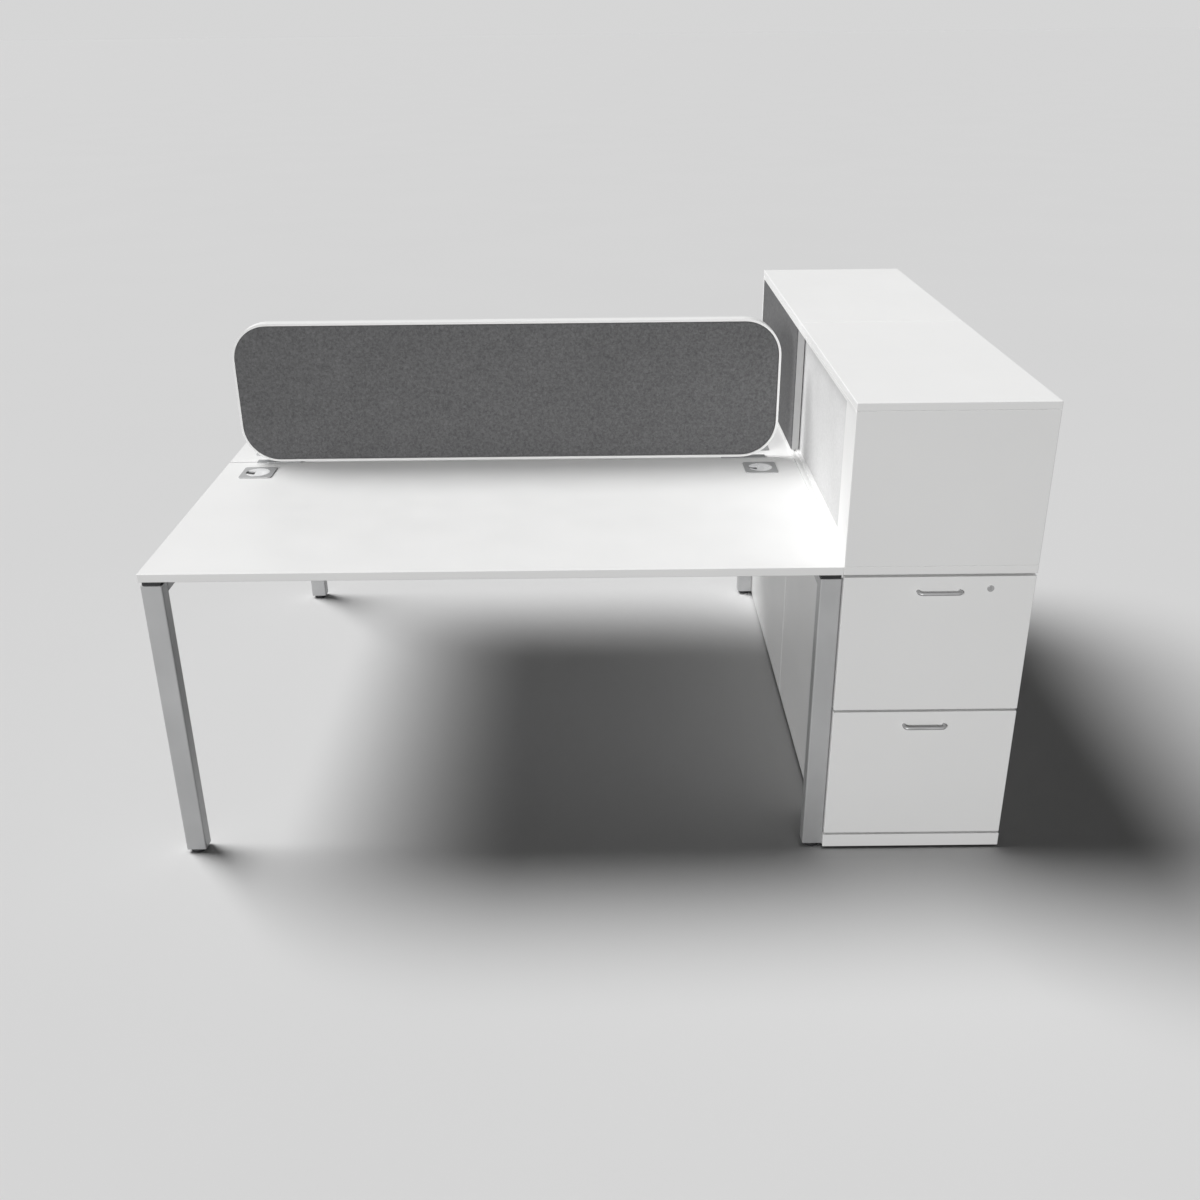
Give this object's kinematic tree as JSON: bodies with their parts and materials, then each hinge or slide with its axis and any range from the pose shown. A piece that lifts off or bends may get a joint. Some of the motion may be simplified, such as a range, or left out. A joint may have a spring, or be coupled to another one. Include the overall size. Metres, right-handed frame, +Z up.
{
  "type": "office bench desk with storage tower",
  "caption": "Face-to-face white bench desk on silver legs with a grey felt screen on the seam and a storage tower at one end: file drawers below, a sliding-door cupboard above.",
  "frame": {"origin": "centre of the footprint of desk and tower, on the floor", "axes": "+X along the desk towards the storage tower, +Y from the front user to the rear user, +Z up"},
  "size_m": [2.04, 1.644, 1.164],
  "materials": {
    "white_board": "satin melamine",
    "white_edge": "satin lacquer",
    "light_grey_board": "textile-look melamine",
    "grey_felt": "felt",
    "silver_steel": "fine-grained silver powder coat",
    "frame_steel": "silver powder coat",
    "fastener_steel": "zinc",
    "dark_plastic": "matte",
    "grommet_metal": "satin coat",
    "cap_metal": "polished",
    "foot_metal": "satin",
    "drawer_steel": "light grey powder coat",
    "runner_steel": "zinc",
    "handle_metal": "satin nickel",
    "lock_metal": "satin chrome",
    "track_metal": "white powder coat"
  },
  "bodies": {
    "desk": {"beam_brackets": "frame_steel", "beams": "frame_steel", "cable_tray": "frame_steel", "cupboard_backs": "white_board", "cupboard_ends": "white_board", "cupboard_partitions": "white_board", "cupboard_shelves": "white_board", "cupboard_tops": "white_board", "desktop_front": "white_board", "desktop_rear": "white_board", "door_track_lower": "track_metal", "door_track_upper": "track_metal", "end_rails": "silver_steel", "frame_bolts": "fastener_steel", "front_stile": "white_board", "grommet_frames": "grommet_metal", "legs_left": "silver_steel", "legs_right": "silver_steel", "pedestal_backs": "white_board", "pedestal_bases": "white_board", "pedestal_sides": "white_board", "pedestal_tops": "white_board", "runner_outers": "runner_steel", "screen_clamps": "frame_steel", "screen_feet": "foot_metal", "screen_felt_front": "grey_felt", "screen_felt_rear": "grey_felt", "screen_frame": "white_edge", "top_spacers": "dark_plastic", "tower_glides": "dark_plastic"},
    "drawer_lower": {"drawer_front_lower": "white_board", "drawer_box_lower": "drawer_steel", "handle_lower": "handle_metal"},
    "drawer_rear_lower": {"drawer_front_rear_lower": "white_board", "drawer_box_rear_lower": "drawer_steel", "handle_rear_lower": "handle_metal"},
    "slide_lower": {"runner_middle_lower": "runner_steel"},
    "slide_rear_lower": {"runner_middle_rear_lower": "runner_steel"},
    "drawer_upper": {"drawer_front_upper": "white_board", "drawer_box_upper": "drawer_steel", "handle_upper": "handle_metal"},
    "drawer_rear_upper": {"drawer_front_rear_upper": "white_board", "drawer_box_rear_upper": "drawer_steel", "handle_rear_upper": "handle_metal"},
    "slide_upper": {"runner_middle_upper": "runner_steel"},
    "slide_rear_upper": {"runner_middle_rear_upper": "runner_steel"},
    "door_front": {"front_door": "light_grey_board"},
    "door_rear": {"rear_door": "white_edge", "rear_door_felt": "grey_felt"},
    "barrel_front": {"lock_front": "lock_metal"},
    "barrel_rear": {"lock_rear": "lock_metal"},
    "cap_front_left": {"grommet_cap_front_left": "cap_metal"},
    "foot_front_left": {"foot_front_left": "dark_plastic"},
    "cap_front_right": {"grommet_cap_front_right": "cap_metal"},
    "foot_front_right": {"foot_front_right": "dark_plastic"},
    "cap_rear_left": {"grommet_cap_rear_left": "cap_metal"},
    "foot_rear_left": {"foot_rear_left": "dark_plastic"},
    "cap_rear_right": {"grommet_cap_rear_right": "cap_metal"},
    "foot_rear_right": {"foot_rear_right": "dark_plastic"}
  },
  "joints": [
    {"name": "drawer_lower_slide", "type": "slide", "parent": "desk", "child": "drawer_lower", "axis": [0, -1, 0], "range_m": [0, 0.56]},
    {"name": "runner_lower_slide", "type": "slide", "parent": "desk", "child": "slide_lower", "axis": [0, -1, 0], "range_m": [0, 0.28]},
    {"name": "drawer_upper_slide", "type": "slide", "parent": "desk", "child": "drawer_upper", "axis": [0, -1, 0], "range_m": [0, 0.56]},
    {"name": "runner_upper_slide", "type": "slide", "parent": "desk", "child": "slide_upper", "axis": [0, -1, 0], "range_m": [0, 0.28]},
    {"name": "lock_front_turn", "type": "hinge", "parent": "drawer_upper", "child": "barrel_front", "pos_m": [0.917, -0.8, 0.714], "axis": [0, -1, 0], "range_deg": [0, 90]},
    {"name": "drawer_rear_lower_slide", "type": "slide", "parent": "desk", "child": "drawer_rear_lower", "axis": [0, 1, 0], "range_m": [0, 0.56]},
    {"name": "runner_rear_lower_slide", "type": "slide", "parent": "desk", "child": "slide_rear_lower", "axis": [0, 1, 0], "range_m": [0, 0.28]},
    {"name": "drawer_rear_upper_slide", "type": "slide", "parent": "desk", "child": "drawer_rear_upper", "axis": [0, 1, 0], "range_m": [0, 0.56]},
    {"name": "runner_rear_upper_slide", "type": "slide", "parent": "desk", "child": "slide_rear_upper", "axis": [0, 1, 0], "range_m": [0, 0.28]},
    {"name": "lock_rear_turn", "type": "hinge", "parent": "drawer_rear_upper", "child": "barrel_rear", "pos_m": [0.917, 0.8, 0.714], "axis": [0, 1, 0], "range_deg": [0, 90]},
    {"name": "door_front_slide", "type": "slide", "parent": "desk", "child": "door_front", "axis": [0, 1, 0], "range_m": [0, 0.7]},
    {"name": "door_rear_slide", "type": "slide", "parent": "desk", "child": "door_rear", "axis": [0, 1, 0], "range_m": [-0.7, 0]},
    {"name": "cap_front_left_turn", "type": "hinge", "parent": "desk", "child": "cap_front_left", "pos_m": [-0.915, -0.1, 0.77], "axis": [0, 0, 1], "continuous": true},
    {"name": "cap_front_right_turn", "type": "hinge", "parent": "desk", "child": "cap_front_right", "pos_m": [0.475, -0.1, 0.77], "axis": [0, 0, 1], "continuous": true},
    {"name": "foot_front_left_screw", "type": "slide", "parent": "desk", "child": "foot_front_left", "axis": [0, 0, -1], "range_m": [0, 0.015]},
    {"name": "foot_front_right_screw", "type": "slide", "parent": "desk", "child": "foot_front_right", "axis": [0, 0, -1], "range_m": [0, 0.015]},
    {"name": "cap_rear_left_turn", "type": "hinge", "parent": "desk", "child": "cap_rear_left", "pos_m": [-0.915, 0.1, 0.77], "axis": [0, 0, 1], "continuous": true},
    {"name": "cap_rear_right_turn", "type": "hinge", "parent": "desk", "child": "cap_rear_right", "pos_m": [0.475, 0.1, 0.77], "axis": [0, 0, 1], "continuous": true},
    {"name": "foot_rear_left_screw", "type": "slide", "parent": "desk", "child": "foot_rear_left", "axis": [0, 0, -1], "range_m": [0, 0.015]},
    {"name": "foot_rear_right_screw", "type": "slide", "parent": "desk", "child": "foot_rear_right", "axis": [0, 0, -1], "range_m": [0, 0.015]}
  ],
  "couplings": [
    {"joint": "runner_lower_slide", "follows": "drawer_lower_slide", "ratio": 0.5},
    {"joint": "runner_upper_slide", "follows": "drawer_upper_slide", "ratio": 0.5},
    {"joint": "runner_rear_lower_slide", "follows": "drawer_rear_lower_slide", "ratio": 0.5},
    {"joint": "runner_rear_upper_slide", "follows": "drawer_rear_upper_slide", "ratio": 0.5}
  ]
}
